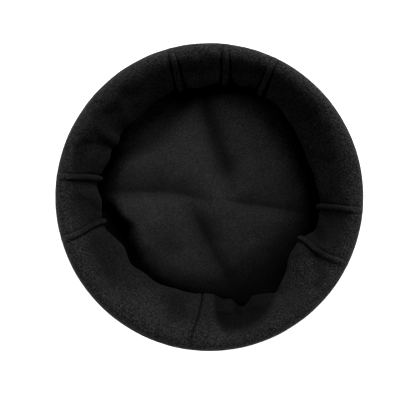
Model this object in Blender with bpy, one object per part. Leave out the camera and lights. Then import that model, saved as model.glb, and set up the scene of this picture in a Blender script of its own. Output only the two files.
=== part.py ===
"""A black fleece pakol that lies on its crown with its head opening upwards.

The hat is sewn from two pieces of cloth. The crown is a round disc whose edge turns up,
creased crosswise from being kept folded in four. The band is a wide tube, sewn to the
crown's edge and rolled outwards into a thick brim. Seven pin tucks run down the tube,
three at the front and two at each side, and a plain seam closes it at the back.

Frame: metres, +Z up and out of the head opening, -Y to the front of the hat, +X to the
wearer's right, and the origin on the resting surface under the middle of the crown.
Angles are in degrees from the front, counter-clockwise as seen from above.
"""

import math
from collections import namedtuple

import bmesh
import bpy

# Driving dimensions
CLOTH = 0.0024
SEAM_GAP = 0.0003
BRIM_TOP = 0.0716
NECK_RADIUS = 0.092
CROWN_RADIUS = 0.1277
CROWN_EDGE_HEIGHT = 0.0070
POCKET_HEIGHT = 0.0165

# The roll's cross-section: how far its cloth lies from the roll's middle, by the sweep
# round it. Sweep 0 points at the hat's axis, 90 up and 180 outwards. The inside is a steep
# slope from the crest down to the neck, and the crest is near the brim's outside
ROLL_MIDDLE_RADIUS = 0.1155
ROLL_MIDDLE_HEIGHT = 0.0425
Reach = namedtuple("Reach", "angle reach")
ROLL = [
    Reach(0, 0.0163),
    Reach(22, 0.0137),
    Reach(45, 0.0134),
    Reach(68, 0.0152),
    Reach(88, 0.0199),
    Reach(101, 0.0259),
    Reach(112, 0.0301),
    Reach(122, 0.0294),
    Reach(133, 0.0259),
    Reach(146, 0.0220),
    Reach(163, 0.0191),
    Reach(188, 0.0181),
    Reach(213, 0.0200),
    Reach(233, 0.0236),
    Reach(255, 0.0253),
    Reach(284, 0.0264),
    Reach(306, 0.0290),
    Reach(318, 0.0287),
    Reach(329, 0.0259),
    Reach(342, 0.0211),
]

# Between these sweeps the cloth turns in under the roll, and goes on as a smaller roll
WINDING_START = 215.0
WINDING_END = 285.0
WOUND_IN = 0.30

# The sweeps at which the roll is cut into facets: from the wall round the neck, over the
# crest and down the outside, and then the hidden part as far as the free edge
SHOWN_SWEEPS = [-74, -54, -42, -31, -18, 0, 22, 45, 68, 88, 101, 112, 122, 133, 146, 163, 188]
HIDDEN_SWEEPS = [213, 233, 257, 288, 316, 350, 382, 405, 428, 448, 472, 500, 560]

# The soft edge where the wall turns in under the roll: steps out from the crown's edge and
# up from the pocket's top, and how far the tucks stand up there
WallStep = namedtuple("WallStep", "out up tuck")
WALL_EDGE = [
    WallStep(0.0008, -0.0060, 0.0),
    WallStep(0.0002, -0.0028, 0.0),
    WallStep(-0.0028, -0.0004, 0.2),
    WallStep(-0.0085, 0.0004, 0.6),
]

# The lip's shape acts fully at the neck and fades out towards this radius
LIP_FADE_RADIUS = 0.128

# A pin tuck is the cloth pinched double and stitched, so it is two cloths wide
TUCK_WIDTH = 2 * CLOTH
TUCK_HEIGHT = 0.0030
TUCK_FLAT_START = 112.0
TUCK_FLAT_END = 150.0
TUCK_FLAT_SHARE = 0.35
TUCK_FADE_START = 212.0
TUCK_FADE_END = 235.0
BACK_SEAM_WIDTH = 0.0018
BACK_SEAM_DEPTH = 0.0009
FILL_SPACING = 8.8

TuckColumn = namedtuple("TuckColumn", "offset height")
TUCK_PROFILE = [
    TuckColumn(-0.64, 0.0),
    TuckColumn(-0.44, 0.80),
    TuckColumn(0.0, 1.0),
    TuckColumn(0.44, 0.80),
    TuckColumn(0.64, 0.0),
]
SEAM_PROFILE = [
    TuckColumn(-0.5, 0.0),
    TuckColumn(0.0, -1.0),
    TuckColumn(0.5, 0.0),
]

# The lines that run down the band: its angle on the brim's outside, and how far it has
# drifted round the hat where it reaches the lip
Line = namedtuple("Line", "name angle drift")
LINES = [
    Line("front_tuck", 0.0, -1.4),
    Line("front_right_tuck", 21.2, 0.3),
    Line("right_tuck", 88.5, -1.5),
    Line("back_right_tuck", 112.6, -3.4),
    Line("back_seam", 179.0, 3.5),
    Line("back_left_tuck", 250.3, 1.3),
    Line("left_tuck", 271.4, 0.3),
    Line("front_left_tuck", 341.1, -0.8),
]

# The lip: how far the neck of the band stands from the axis, a row for each bulge or dip
Lip = namedtuple("Lip", "angle radius")
LIP = [
    Lip(0.0, 0.1010),
    Lip(11.0, 0.0972),
    Lip(22.0, 0.0995),
    Lip(32.0, 0.0990),
    Lip(45.5, 0.0953),
    Lip(57.0, 0.0960),
    Lip(63.5, 0.0944),
    Lip(69.0, 0.0962),
    Lip(79.0, 0.0962),
    Lip(90.0, 0.0990),
    Lip(98.0, 0.0945),
    Lip(105.0, 0.0953),
    Lip(112.0, 0.0965),
    Lip(119.0, 0.0893),
    Lip(130.0, 0.0876),
    Lip(145.0, 0.0842),
    Lip(168.0, 0.0837),
    Lip(189.0, 0.0840),
    Lip(197.0, 0.0895),
    Lip(202.5, 0.0975),
    Lip(209.0, 0.0945),
    Lip(221.0, 0.1015),
    Lip(231.0, 0.0950),
    Lip(240.0, 0.0880),
    Lip(251.0, 0.0885),
    Lip(259.0, 0.0975),
    Lip(266.0, 0.0960),
    Lip(280.0, 0.0940),
    Lip(300.0, 0.0920),
    Lip(314.0, 0.0945),
    Lip(329.0, 0.0982),
    Lip(341.0, 0.1010),
    Lip(350.0, 0.1025),
]

# Places where the roll sags: the middle of each sag, its reach each way and its depth
Sag = namedtuple("Sag", "angle reach radius width depth")
SAGS = [
    Sag(1.0, 20.0, 0.1125, 0.0050, 0.0028),
    Sag(65.0, 6.0, 0.108, 0.007, 0.0050),
    Sag(101.0, 7.0, 0.106, 0.007, 0.0045),
    Sag(132.0, 9.0, 0.106, 0.007, 0.0045),
    Sag(170.0, 5.0, 0.098, 0.009, 0.0050),
    Sag(206.0, 10.0, 0.106, 0.0080, 0.0130),
    Sag(236.0, 6.0, 0.112, 0.007, 0.0045),
    Sag(260.0, 6.0, 0.100, 0.007, 0.0040),
    Sag(291.0, 9.0, 0.105, 0.006, 0.0040),
]

# The crown's edge is an arc that turns the disc up to meet the band
CROWN_EDGE_BEND = CROWN_EDGE_HEIGHT
CROWN_FLAT_RADIUS = CROWN_RADIUS - CROWN_EDGE_BEND
CROWN_RINGS = [0.013, 0.021, 0.029, 0.040, 0.056, 0.067, 0.077, 0.087, 0.097, 0.108]
CROWN_EDGE_STEPS = 3

# The crown's fold marks: the angle at the rim, and how far the mark has turned by
# SWIRL_RADIUS. The turn grows as the mark nears the middle, and stops at CREASE_EYE
Crease = namedtuple("Crease", "angle swirl")
CREASES = [
    Crease(7.0, 16.2),
    Crease(95.0, 3.1),
    Crease(205.0, 12.5),
    Crease(267.5, 1.9),
]
SWIRL_RADIUS = 0.040
CREASE_EYE = 0.024
CREASE_HALF_WIDTH = 0.0060
CREASE_START = 0.011
CREASE_FULL = 0.028

# The crown is puffed up into the hat: how high its underside stands over the resting
# surface on the marks and beside them, and where it slopes down to its flat outer ring
MARK_RISE = 0.0085
PANEL_RISE = 0.0130
PANEL_CROWN = 0.0009
PANEL_SLOPE_START = 0.062
PANEL_SLOPE_END = 0.102
SPOKES_IN_PANEL = 6

FLEECE_COLOUR = (0.020, 0.020, 0.021, 1.0)
FLEECE_ROUGHNESS = 0.95


def smooth_step(value):
    """0 below 0, 1 above 1, and an even S-curve between."""
    value = min(max(value, 0.0), 1.0)
    return value * value * (3 - 2 * value)


def bump(distance):
    """1 at distance 0, falling smoothly to 0 at distance 1 on either side."""
    return 1 - smooth_step(abs(distance))


def turn_between(start, end):
    """The turn from one angle to another, between -180 and 180 degrees."""
    return (end - start + 180) % 360 - 180


def read_round(table, angle, column):
    """A column of a table with rising angles, read at any angle on one smooth closed curve."""
    count = len(table)
    later = next((i for i, row in enumerate(table) if row.angle > angle % 360), count)
    rows = [table[(later + step) % count] for step in (-2, -1, 0, 1)]
    place = [0.0]
    for near, far in zip(rows, rows[1:]):
        place.append(place[-1] + (far.angle - near.angle) % 360)
    value = [getattr(row, column) for row in rows]
    span = place[2] - place[1]
    leaving = (value[2] - value[0]) / (place[2] - place[0]) * span
    arriving = (value[3] - value[1]) / (place[3] - place[1]) * span
    t = (angle - rows[1].angle) % 360 / span
    return (
        (2 * t**3 - 3 * t**2 + 1) * value[1]
        + (t**3 - 2 * t**2 + t) * leaving
        + (3 * t**2 - 2 * t**3) * value[2]
        + (t**3 - t**2) * arriving
    )


def at(angle, radius, height):
    """The point at an angle from the front, a radius from the axis and a height."""
    turn = math.radians(angle)
    return (radius * math.sin(turn), -radius * math.cos(turn), height)


def loft(name, rows, closed_rows):
    """A mesh whose faces join each row of points to the next one, round to the first."""
    mesh = bpy.data.meshes.new(name)
    shape = bmesh.new()
    lines = [[shape.verts.new(point) for point in row] for row in rows]
    for near, far in zip(lines, lines[1:] + lines[:1]):
        last = len(near) if closed_rows else len(near) - 1
        for i in range(last):
            j = (i + 1) % len(near)
            shape.faces.new((near[i], near[j], far[j], far[i]))
    return mesh, shape, lines


def finish(name, mesh, shape, material, parent):
    """Turns the faces outwards, shades the mesh smooth and makes it a named object."""
    bmesh.ops.recalc_face_normals(shape, faces=shape.faces)
    shape.to_mesh(mesh)
    shape.free()
    mesh.shade_smooth()
    mesh.set_sharp_from_angle(angle=math.radians(50))
    mesh.materials.append(material)
    piece = bpy.data.objects.new(name, mesh)
    bpy.context.scene.collection.objects.link(piece)
    piece.parent = parent
    return piece


def fleece():
    """Matt black fleece."""
    material = bpy.data.materials.new("black_fleece")
    material.use_nodes = True
    shader = material.node_tree.nodes["Principled BSDF"]
    shader.inputs["Base Color"].default_value = FLEECE_COLOUR
    shader.inputs["Roughness"].default_value = FLEECE_ROUGHNESS
    shader.inputs["Metallic"].default_value = 0.0
    return material


def roll_point(sweep):
    """The middle of the cloth on the roll, at a sweep from the neck over the top."""
    wound = smooth_step((sweep - WINDING_START) / (WINDING_END - WINDING_START))
    reach = read_round(ROLL, sweep, "reach") * (1 - WOUND_IN * wound)
    turn = math.radians(sweep)
    radius = ROLL_MIDDLE_RADIUS - reach * math.cos(turn)
    height = ROLL_MIDDLE_HEIGHT + reach * math.sin(turn)
    return radius, height


def tuck_share(sweep):
    """How far the tucks stand up at a sweep: fully to the crest, then pressed flatter."""
    flat = smooth_step((sweep - TUCK_FLAT_START) / (TUCK_FLAT_END - TUCK_FLAT_START))
    gone = smooth_step((sweep - TUCK_FADE_START) / (TUCK_FADE_END - TUCK_FADE_START))
    return (1 - (1 - TUCK_FLAT_SHARE) * flat) * (1 - gone)


def band_line():
    """The middle of the band's cloth from the crown's edge to the free edge in the roll.

    Each row has the radius, the height, and how far the tucks stand up there, from 0 to 1.
    The wall leaves the crown upwards, rounds a soft edge and runs in under the roll.
    """
    foot = CROWN_EDGE_HEIGHT + SEAM_GAP
    middle = CROWN_RADIUS - CLOTH / 2
    line = [(middle, foot, 0.0)]
    for step in WALL_EDGE:
        line.append((middle + step.out, POCKET_HEIGHT + step.up, step.tuck))
    for sweep in SHOWN_SWEEPS + HIDDEN_SWEEPS:
        line.append((*roll_point(sweep), tuck_share(sweep)))
    return line


def band_section():
    """The band's cross-section as a closed loop of rows.

    Each row has the radius, the height, the outward direction there, and how far the
    tucks stand up. The first half is the face that shows, the second half its back.
    """
    line = band_line()
    face = []
    back = []
    for i, (radius, height, stands) in enumerate(line):
        before = line[max(i - 1, 0)]
        after = line[min(i + 1, len(line) - 1)]
        along = (after[0] - before[0], after[1] - before[1])
        length = math.hypot(*along)
        out = (-along[1] / length, along[0] / length)
        # The foot stands square on the crown's edge
        if i == 0:
            out = (-1.0, 0.0)
        if i > 0 and out[0] * face[-1][2] + out[1] * face[-1][3] < 0:
            out = (-out[0], -out[1])
        half = CLOTH / 2
        face.append((radius + half * out[0], height + half * out[1], *out, stands))
        back.append((radius - half * out[0], height - half * out[1], *out, 0.0))
    return face + back[::-1]


def band_columns():
    """The places round the hat where the band is cut into facets.

    Each row has the angle, a step sideways in metres, and a height added to the face. The
    tucks and the back seam have columns of their own, with others spread between them.
    """
    columns = []
    for line, following in zip(LINES, LINES[1:] + LINES[:1]):
        is_seam = line.name == "back_seam"
        profile = SEAM_PROFILE if is_seam else TUCK_PROFILE
        width = BACK_SEAM_WIDTH if is_seam else TUCK_WIDTH
        tall = BACK_SEAM_DEPTH if is_seam else TUCK_HEIGHT
        for column in profile:
            columns.append((line.angle, column.offset * width, column.height * tall))
        span = (following.angle - line.angle) % 360
        fills = max(round(span / FILL_SPACING) - 1, 1)
        for i in range(fills):
            columns.append((line.angle + span * (i + 1) / (fills + 1), 0.0, 0.0))
    return columns


def near_lip(radius):
    """1 at the neck and inside it, falling smoothly to 0 at LIP_FADE_RADIUS."""
    return smooth_step((LIP_FADE_RADIUS - radius) / (LIP_FADE_RADIUS - NECK_RADIUS))


def settle(angle, radius, height):
    """Moves a point of the evenly turned band to where the real, slack band has it.

    The lip table pushes the neck in or out, and the sags lower the roll. Both act on
    every layer at once, so that no layer passes through another.
    """
    push = read_round(LIP, angle, "radius") - NECK_RADIUS
    moved = radius + push * near_lip(radius)
    lowered = height
    for sag in SAGS:
        across = bump((moved - sag.radius) / (2 * sag.width))
        along = bump(turn_between(sag.angle, angle) / (2 * sag.reach))
        lowered -= sag.depth * across * along * height / BRIM_TOP
    return moved, lowered


def band_ring(section, angle, sideways, tall):
    """One cross-section of the band at a column, as a row of points."""
    ring = []
    for radius, height, out_r, out_z, stands in section:
        lift = tall * stands
        drift = read_round(LINES, angle, "drift") * near_lip(radius)
        turned = angle + drift + math.degrees(sideways / radius)
        settled = settle(turned, radius + lift * out_r, height + lift * out_z)
        ring.append(at(turned, *settled))
    return ring


def build_band(material, parent):
    """The band: one cloth, sewn to the crown's edge and rolled up into the brim."""
    section = band_section()
    rings = [band_ring(section, *column) for column in band_columns()]
    mesh, shape, _ = loft("rolled_band", rings, closed_rows=True)
    return finish("rolled_band", mesh, shape, material, parent)


def crown_spokes():
    """The lines on the crown from the rim to the middle.

    Each row has the angle at the rim, the swirl, a step sideways in metres, and how high
    the cloth stands there. Each fold mark is a low line between two raised shoulders, and
    the panels between the marks are slightly domed.
    """
    spokes = []
    for crease, following in zip(CREASES, CREASES[1:] + CREASES[:1]):
        for side, rise in ((-1, PANEL_RISE), (0, MARK_RISE), (1, PANEL_RISE)):
            spokes.append((crease.angle, crease.swirl, side * CREASE_HALF_WIDTH, rise))
        span = (following.angle - crease.angle) % 360
        for i in range(SPOKES_IN_PANEL):
            share = (i + 1) / (SPOKES_IN_PANEL + 1)
            swirl = crease.swirl + (following.swirl - crease.swirl) * share
            side = CREASE_HALF_WIDTH * (1 - 2 * share)
            rise = PANEL_RISE + PANEL_CROWN * math.sin(math.pi * share)
            spokes.append((crease.angle + span * share, swirl, side, rise))
    return spokes


def crown_spoke(angle, swirl, sideways, rise):
    """The points along one spoke, out along the underside and back along the inside."""
    under = []
    inside = []
    for radius in CROWN_RINGS:
        outside_eye = max(radius, CREASE_EYE)
        turned = angle - swirl * (SWIRL_RADIUS / outside_eye) ** 2
        turned += math.degrees(sideways / outside_eye)
        creased = smooth_step((radius - CREASE_START) / (CREASE_FULL - CREASE_START))
        down = (radius - PANEL_SLOPE_START) / (PANEL_SLOPE_END - PANEL_SLOPE_START)
        height = (PANEL_RISE + (rise - PANEL_RISE) * creased) * (1 - smooth_step(down))
        under.append(at(turned, radius, height))
        inside.append(at(turned, radius, height + CLOTH))
    for i in range(CROWN_EDGE_STEPS + 1):
        turn = math.radians(90 * i / CROWN_EDGE_STEPS)
        for points, bend in ((under, CROWN_EDGE_BEND), (inside, CROWN_EDGE_BEND - CLOTH)):
            radius = CROWN_FLAT_RADIUS + bend * math.sin(turn)
            height = CROWN_EDGE_HEIGHT - bend * math.cos(turn)
            turned = angle + math.degrees(sideways / radius)
            points.append(at(turned, radius, height))
    return under + inside[::-1]


def build_crown(material, parent):
    """The crown: a disc that lies on its outer ring, puffed up inside it, its edge turned up."""
    rows = [crown_spoke(*spoke) for spoke in crown_spokes()]
    mesh, shape, lines = loft("crown", rows, closed_rows=False)
    for first, height in ((0, PANEL_RISE), (-1, PANEL_RISE + CLOTH)):
        middle = shape.verts.new((0.0, 0.0, height))
        for near, far in zip(lines, lines[1:] + lines[:1]):
            shape.faces.new((middle, near[first], far[first]))
    return finish("crown", mesh, shape, material, parent)


def build_hat():
    """Clears the scene and builds the two pieces of the hat under one empty."""
    for old in list(bpy.data.objects):
        bpy.data.objects.remove(old)
    hat = bpy.data.objects.new("pakol", None)
    bpy.context.scene.collection.objects.link(hat)
    cloth = fleece()
    build_crown(cloth, hat)
    build_band(cloth, hat)


build_hat()
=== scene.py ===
# %% [markdown]
# # A black fleece pakol that lies on its crown
#
# A pakol is a soft round hat sewn from two pieces of cloth. A flat disc, the crown, closes it.
# A wide tube, the band, is sewn to the crown's edge and rolled outwards into a thick brim.
# Here the hat lies upside down, so the camera looks past the brim onto the crown's inside.
#
# The packed model already holds both pieces as plain solids. It is loaded first, because
# every shape below is worked out in the same metres and about the same axis:
# +Z points up and out of the head opening, -Y is the front of the hat, and +X the wearer's
# right. Angles are in degrees from the front, counter-clockwise as seen from above.

# %% Load the frame
import math
from collections import namedtuple

import bpy
import numpy as np
from mathutils import Matrix, Vector


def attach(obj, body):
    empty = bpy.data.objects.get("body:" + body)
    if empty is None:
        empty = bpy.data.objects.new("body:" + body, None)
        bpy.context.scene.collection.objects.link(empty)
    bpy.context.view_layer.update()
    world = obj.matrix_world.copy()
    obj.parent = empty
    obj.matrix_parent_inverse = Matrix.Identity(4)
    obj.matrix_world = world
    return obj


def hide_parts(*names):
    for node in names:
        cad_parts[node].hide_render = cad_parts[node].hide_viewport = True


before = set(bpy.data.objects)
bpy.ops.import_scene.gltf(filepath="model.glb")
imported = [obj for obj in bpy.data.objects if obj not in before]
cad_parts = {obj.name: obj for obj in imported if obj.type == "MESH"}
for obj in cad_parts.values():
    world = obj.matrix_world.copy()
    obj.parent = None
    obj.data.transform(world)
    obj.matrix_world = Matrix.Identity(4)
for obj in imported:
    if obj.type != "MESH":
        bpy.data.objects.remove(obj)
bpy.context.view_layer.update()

# %% [markdown]
# ## The camera
#
# The hat was photographed from straight above, so its brim shows as a plain circle. Three
# facts settle the camera: the circle's radius in pixels gives the lens, its middle gives the
# small step sideways, and the front tuck's direction gives the turn. The lens is fitted at
# the height where the brim is widest, because that is where the circle is seen.

# %% Set up the camera
IMAGE_SIZE = 416
HAT_MIDDLE = (209.3, 197.1)
HAT_RADIUS_PIXELS = 153.5
FRONT_TUCK_DIRECTION = 83.5
BRIM_RADIUS = 0.135
WIDEST_HEIGHT = 0.052
CAMERA_HEIGHT = 1.2
SENSOR = 36.0

metres_per_pixel = BRIM_RADIUS / HAT_RADIUS_PIXELS
lens = SENSOR / IMAGE_SIZE * (CAMERA_HEIGHT - WIDEST_HEIGHT) / metres_per_pixel
lean = math.radians(90 - FRONT_TUCK_DIRECTION)
image_up = Vector((math.sin(lean), -math.cos(lean), 0))
image_right = image_up.cross(Vector((0, 0, 1)))
camera_data = bpy.data.cameras.new("camera")
camera_data.sensor_width = SENSOR
camera_data.lens = lens
camera = bpy.data.objects.new("camera", camera_data)
bpy.context.scene.collection.objects.link(camera)
step_right = (IMAGE_SIZE / 2 - HAT_MIDDLE[0]) * metres_per_pixel
step_up = (HAT_MIDDLE[1] - IMAGE_SIZE / 2) * metres_per_pixel
place = image_right * step_right + image_up * step_up + Vector((0, 0, CAMERA_HEIGHT))
turn = Matrix((image_right, image_up, Vector((0, 0, 1)))).transposed()
camera.matrix_world = Matrix.Translation(place) @ turn.to_4x4()
bpy.context.scene.camera = camera
print("lens", round(lens, 1), "mm; camera at", place)

# %% [markdown]
# ## Small curves for cloth
#
# Cloth has few straight lines, so most shapes below mix the same few soft curves. Each one
# works on whole arrays of points, which keeps a mesh of 90,000 points quick to work out.

# %% Soft steps, humps and round tables
def smooth_step(x):
    """An even S-curve, x²(3 - 2x), held at 0 below 0 and at 1 above 1."""
    x = np.clip(x, 0, 1)
    return x * x * (3 - 2 * x)


def step_across(distance, width):
    """The S-curve centred on distance 0: from 0 at -width / 2 to 1 at width / 2."""
    return smooth_step(distance / width + 0.5)


def hump(x):
    """1 at x = 0, falling on the S-curve to 0 at x = -1 and x = 1."""
    return 1 - smooth_step(np.abs(x))


def turn_between(start, end):
    """The turn end - start, brought between -180 and 180 degrees."""
    return (end - start + 180) % 360 - 180


def cubic(t, first, leaving, second, arriving):
    """From first to second as t goes from 0 to 1, with the slopes leaving and arriving.

    It is (2t³ - 3t² + 1)·first + (t³ - 2t² + t)·leaving + (3t² - 2t³)·second
    + (t³ - t²)·arriving.
    """
    kept = (2 * t**3 - 3 * t**2 + 1) * first + (t**3 - 2 * t**2 + t) * leaving
    return kept + (3 * t**2 - 2 * t**3) * second + (t**3 - t**2) * arriving


def read_round(rows, angle):
    """A smooth closed curve through rows of (angle, value), read at arrays of angles.

    Each span is a cubic. Its slope at a row is the rise from the row before to the row
    after, divided by the angle between them.
    """
    key, value = np.array(rows, float).T
    later = np.searchsorted(key, angle % 360, side="right")
    a, b, c, d = [(later + step) % len(key) for step in (-2, -1, 0, 1)]
    before = (key[b] - key[a]) % 360
    span = (key[c] - key[b]) % 360
    after = (key[d] - key[c]) % 360
    leaving = (value[c] - value[a]) / (before + span) * span
    arriving = (value[d] - value[b]) / (span + after) * span
    return cubic((angle - key[b]) % 360 / span, value[b], leaving, value[c], arriving)


def smooth_curve(knots, steps):
    """A smooth open curve through rows of knots, with so many steps from knot to knot.

    Each span is a cubic whose slopes are the central differences by chord length. The
    first two columns of a knot are its place, and the others are carried along.
    """
    knots = np.array(knots, float)
    chords = np.linalg.norm(np.diff(knots[:, :2], axis=0), axis=1)
    slope = np.gradient(knots, np.concatenate([[0], np.cumsum(chords)]), axis=0)
    t = (np.arange(steps) / steps)[None, :, None]
    chords = chords[:, None, None]
    spans = cubic(
        t,
        knots[:-1, None],
        chords * slope[:-1, None],
        knots[1:, None],
        chords * slope[1:, None],
    )
    return np.vstack([spans.reshape(-1, knots.shape[1]), knots[-1:]])


def plan(angle, radius):
    """The place from above: x = r·sin(angle), y = -r·cos(angle)."""
    turned = np.radians(angle)
    return radius * np.sin(turned), -radius * np.cos(turned)


print("a soft step at a quarter, a half and three quarters:", smooth_step([0.25, 0.5, 0.75]))

# %% [markdown]
# ## The band's cross-section
#
# Cut the hat through its axis and the band is one long line of cloth. It stands on the
# crown's edge, rounds a soft corner, runs inwards under the roll, rises as the neck of the
# head opening, goes over the top of the brim and down its outside, and winds on inside the
# roll for another turn. A table says how far the cloth lies from the roll's middle at each
# sweep round it. The inner turn is the same outline drawn in, which leaves air between the
# layers. The foot presses a little into the crown's edge, so no light comes through the seam.
#
# The line could be drawn by hand. It is worked out instead, so that the rows of points can
# lie close where the cloth shows and far apart where it is hidden inside the roll.

# %% Sizes of the cloth and the roll
# Lengths are in metres wherever a comment names no other unit
CLOTH = 0.0024
SEAM_PRESS = 0.0002
BRIM_TOP = 0.0716
NECK_RADIUS = 0.092
CROWN_RADIUS = 0.1277
CROWN_EDGE_HEIGHT = 0.0070
BAND_FOOT = CROWN_EDGE_HEIGHT - SEAM_PRESS
POCKET_HEIGHT = 0.0165
CUT_EDGE_SHARE = 0.75
STEPS_PER_KNOT = 12

# The roll's outline: how far its cloth lies from its middle, at each sweep round it. A sweep
# is in degrees: 0 at the neck, 90 on the top of the brim and 180 on its outside
SWEEP_AT_WALL = -72.0
SWEEP_AT_FREE_EDGE = 570.0
ROLL_KNOTS = 108
ROLL_MIDDLE_RADIUS = 0.1155
ROLL_MIDDLE_HEIGHT = 0.0425
ROLL = [
    (0, 0.0163), (22, 0.0137), (45, 0.0134), (68, 0.0152), (88, 0.0199), (101, 0.0259),
    (112, 0.0301), (122, 0.0294), (133, 0.0259), (146, 0.0220), (163, 0.0191), (188, 0.0181),
    (213, 0.0200), (233, 0.0236), (255, 0.0253), (284, 0.0264), (306, 0.0290), (318, 0.0287),
    (329, 0.0259), (342, 0.0211),
]
WOUND_IN = 0.30
WINDING_START = 215.0
WINDING_END = 285.0

# The soft corner between the standing foot and the roll: steps out from the foot and up from
# the pocket, the sweep that is counted there, and how far the tucks stand up
WallStep = namedtuple("WallStep", "out up sweep tuck")
WALL_EDGE = [
    WallStep(0.0008, -0.0060, -108.0, 0.0),
    WallStep(0.0002, -0.0028, -99.0, 0.0),
    WallStep(-0.0028, -0.0004, -90.0, 0.2),
    WallStep(-0.0085, 0.0004, -81.0, 0.6),
]
SWEEP_AT_FOOT = -117.0

# How far apart the rows of points are, by sweep: the face that shows, then its back
RowSpacing = namedtuple("RowSpacing", "sweep face back")
ROW_SPACING = [
    RowSpacing(-117.0, 0.0016, 0.0014),
    RowSpacing(-86.0, 0.0022, 0.0014),
    RowSpacing(-60.0, 0.0032, 0.0060),
    RowSpacing(-30.0, 0.0017, 0.0070),
    RowSpacing(255.0, 0.0015, 0.0080),
    RowSpacing(300.0, 0.0080, 0.0100),
    RowSpacing(570.0, 0.0100, 0.0100),
]

# The sweeps between which the tucks are pressed flat, the share of their height that is left
# there, and the sweeps between which they end
TUCK_FLAT_START = 95.0
TUCK_FLAT_END = 136.0
TUCK_FLAT_SHARE = 0.04
TUCK_FADE_START = 212.0
TUCK_FADE_END = 235.0
print("the roll's middle is", ROLL_MIDDLE_RADIUS, "from the axis and", ROLL_MIDDLE_HEIGHT, "up")

# %% Lay out the band's line of cloth
def tuck_share(sweep):
    """How far the tucks stand up on the roll, from 0 to 1: full to the crest, then lower."""
    flat = smooth_step((sweep - TUCK_FLAT_START) / (TUCK_FLAT_END - TUCK_FLAT_START))
    gone = smooth_step((sweep - TUCK_FADE_START) / (TUCK_FADE_END - TUCK_FADE_START))
    return (1 - (1 - TUCK_FLAT_SHARE) * flat) * (1 - gone)


def roll_knots():
    """Knots on the roll: radius R - d·cos(s) and height H + d·sin(s) at a sweep s.

    d is the outline's reach at s. Past the first turn it is the same outline, drawn in to
    (1 - WOUND_IN) of its size about the middle.
    """
    sweep = np.linspace(SWEEP_AT_WALL, SWEEP_AT_FREE_EDGE, ROLL_KNOTS)
    wound = smooth_step((sweep - WINDING_START) / (WINDING_END - WINDING_START))
    reach = read_round(ROLL, sweep) * (1 - WOUND_IN * wound)
    around = np.radians(sweep)
    radius = ROLL_MIDDLE_RADIUS - reach * np.cos(around)
    height = ROLL_MIDDLE_HEIGHT + reach * np.sin(around)
    return np.column_stack([radius, height, sweep, tuck_share(sweep)])


def band_line():
    """The middle of the cloth from the crown's edge to the free edge inside the roll.

    The columns are radius, height, sweep, the tucks' share, and the face's direction.
    """
    middle = CROWN_RADIUS - CLOTH / 2
    wall = [(middle, BAND_FOOT, SWEEP_AT_FOOT, 0.0)]
    wall += [(middle + w.out, POCKET_HEIGHT + w.up, w.sweep, w.tuck) for w in WALL_EDGE]
    line = smooth_curve(np.vstack([wall, roll_knots()]), STEPS_PER_KNOT)
    along = np.gradient(line[:, :2], axis=0)
    along /= np.linalg.norm(along, axis=1)[:, None]
    facing = np.column_stack([-along[:, 1], along[:, 0]])
    return np.column_stack([line, facing])


def spaced_rows(line, spacing):
    """Rows picked from a line so that they lie as far apart as its spacing says.

    The row number at a place is the sum of ds / spacing up to there.
    """
    steps = np.linalg.norm(np.diff(line[:, :2], axis=0), axis=1)
    between = (spacing[1:] + spacing[:-1]) / 2
    number = np.concatenate([[0], np.cumsum(steps / between)])
    wanted = np.linspace(0, number[-1], round(number[-1]) + 1)
    return np.column_stack([np.interp(wanted, number, column) for column in line.T])


def band_section():
    """The closed loop of rows round the band's cloth, face first and back on the return.

    A row is radius, height, direction out of the face, and the tucks' share there. The
    first and last rows are only CUT_EDGE_SHARE as thick, so that the cut edges are rounded.
    """
    line = band_line()
    key = [row.sweep for row in ROW_SPACING]
    faces = np.interp(line[:, 2], key, [row.face for row in ROW_SPACING])
    backs = np.interp(line[:, 2], key, [row.back for row in ROW_SPACING])
    face = spaced_rows(line, faces)
    back = spaced_rows(line, backs)[::-1]
    loop = []
    for rows, side in ((face, 1), (back, -1)):
        out = rows[:, 4:6]
        half = np.full(len(rows), side * CLOTH / 2)
        half[[0, -1]] *= CUT_EDGE_SHARE
        share = rows[:, 3] * (side > 0)
        loop.append(np.column_stack([rows[:, :2] + half[:, None] * out, out, share]))
    print("rows on the face", len(face), "and on the back", len(back))
    return np.vstack(loop)


section = band_section()

# %% [markdown]
# ## Where the band's lines run
#
# Seven pin tucks run over the brim: the cloth is pinched double and stitched, which leaves a
# ridge about as wide as two cloths. One plain seam closes the tube at the back. The columns
# of points follow these lines, so that a ridge keeps its width from the brim to the lip, and
# lie closest at the ridges' steep sides.

# %% Tucks, seam and columns
# How far a line's own columns reach, how many millimetres each lies from the line, and how
# many degrees the columns between two lines are apart
LINE_REACH = 0.0072
LINE_STEPS = [0, 0.7, 1.3, 1.75, 2.05, 2.25, 2.42, 2.62, 2.9, 3.2, 3.6, 4.2, 5.0, 6.0, 7.2]
FILL_SPACING = 0.86

# A line's angle on the outside of the brim, how many degrees it drifts by the lip and how many
# it bows out halfway, and its height as a share of a tuck's, which is 0 for the seam
Line = namedtuple("Line", "name angle drift bow height")
LINES = [
    Line("front_tuck", 0.0, -1.4, 0.0, 1.0),
    Line("front_right_tuck", 21.2, 0.3, 0.0, 1.0),
    Line("right_tuck", 88.5, -1.5, 0.0, 1.1),
    Line("back_right_tuck", 112.6, -3.4, 0.4, 1.0),
    Line("back_seam", 179.0, 3.5, 0.0, 0.0),
    Line("back_left_tuck", 250.3, 2.4, -1.7, 1.0),
    Line("left_tuck", 271.4, 0.3, 0.0, 1.1),
    Line("front_left_tuck", 341.1, -0.8, 0.0, 1.0),
]


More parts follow.
